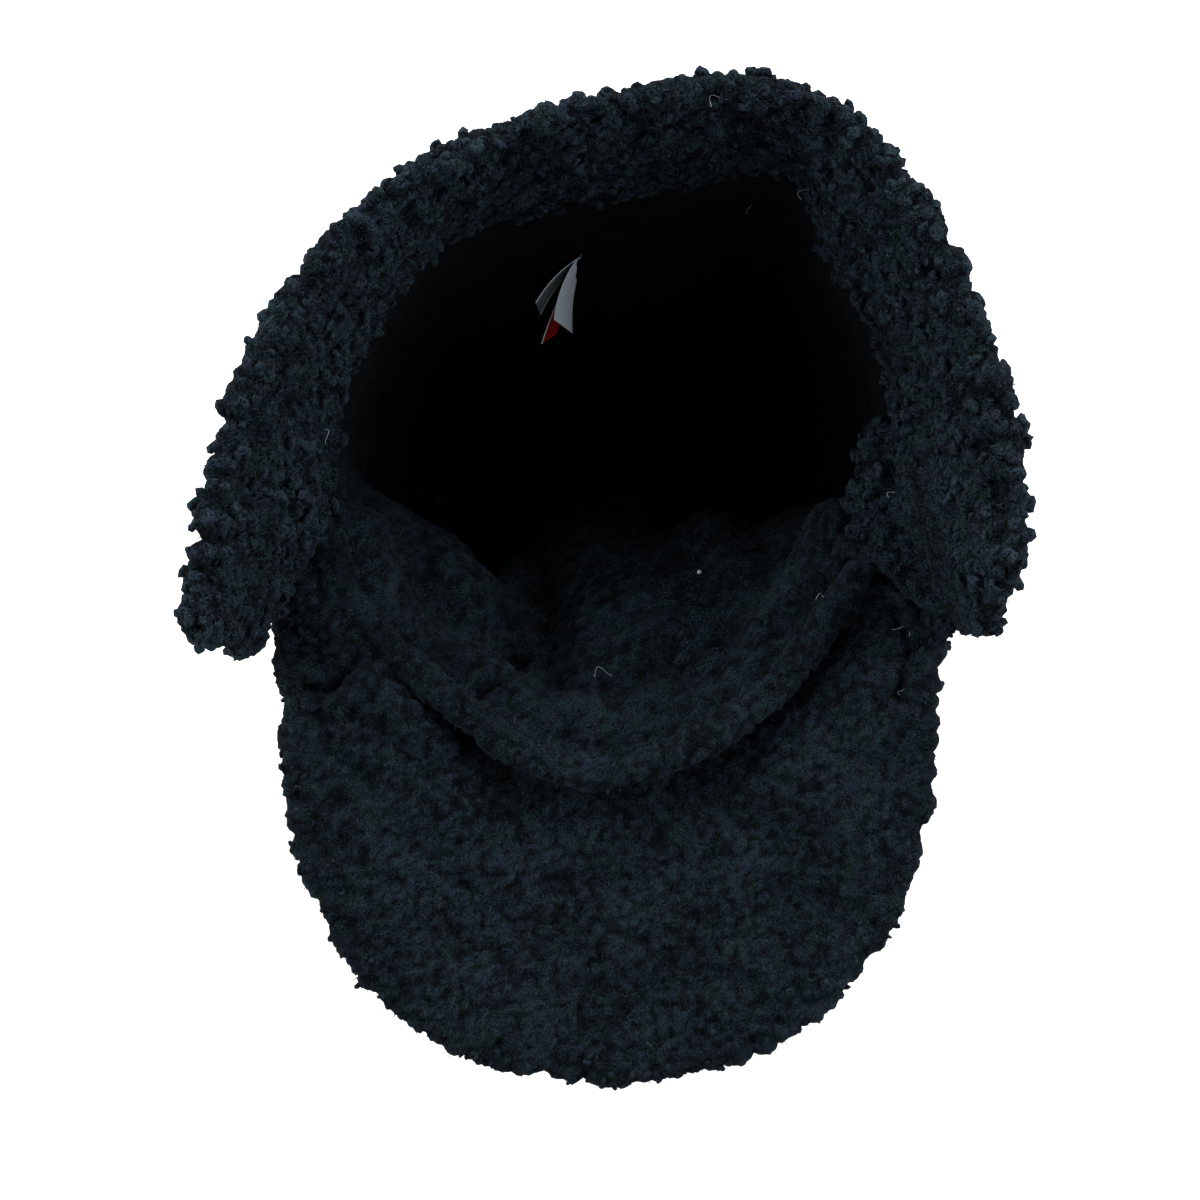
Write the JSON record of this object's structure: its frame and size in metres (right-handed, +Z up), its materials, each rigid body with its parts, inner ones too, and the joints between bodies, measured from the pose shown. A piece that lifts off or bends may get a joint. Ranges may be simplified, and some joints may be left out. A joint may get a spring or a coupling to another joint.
{
  "type": "earflap cap",
  "caption": "Peaked winter cap of curly fleece with a one-piece earflap band, lying on its crown with the opening up and its crown folded in at the brow",
  "frame": {"origin": "centre of the flat patch of the crown that the cap lies on", "axes": "+Z up, out of the head opening; -Y towards the peak; +X to the right of someone who faces the peak"},
  "size_m": [0.2265, 0.2655, 0.1882],
  "materials": {
    "curly_fleece": "deep curly pile, matt",
    "short_fleece": "short brushed pile, matt",
    "label_cloth_white": "smooth woven, satin",
    "label_cloth_red": "smooth woven, satin"
  },
  "bodies": {
    "root": {"crown_shell": "curly_fleece", "crown_lining": "short_fleece", "peak": "short_fleece", "brow_roll": "short_fleece", "earflap_band": "curly_fleece", "label_white": "label_cloth_white", "label_grey": "label_cloth_white", "label_red": "label_cloth_red"}
  },
  "joints": []
}
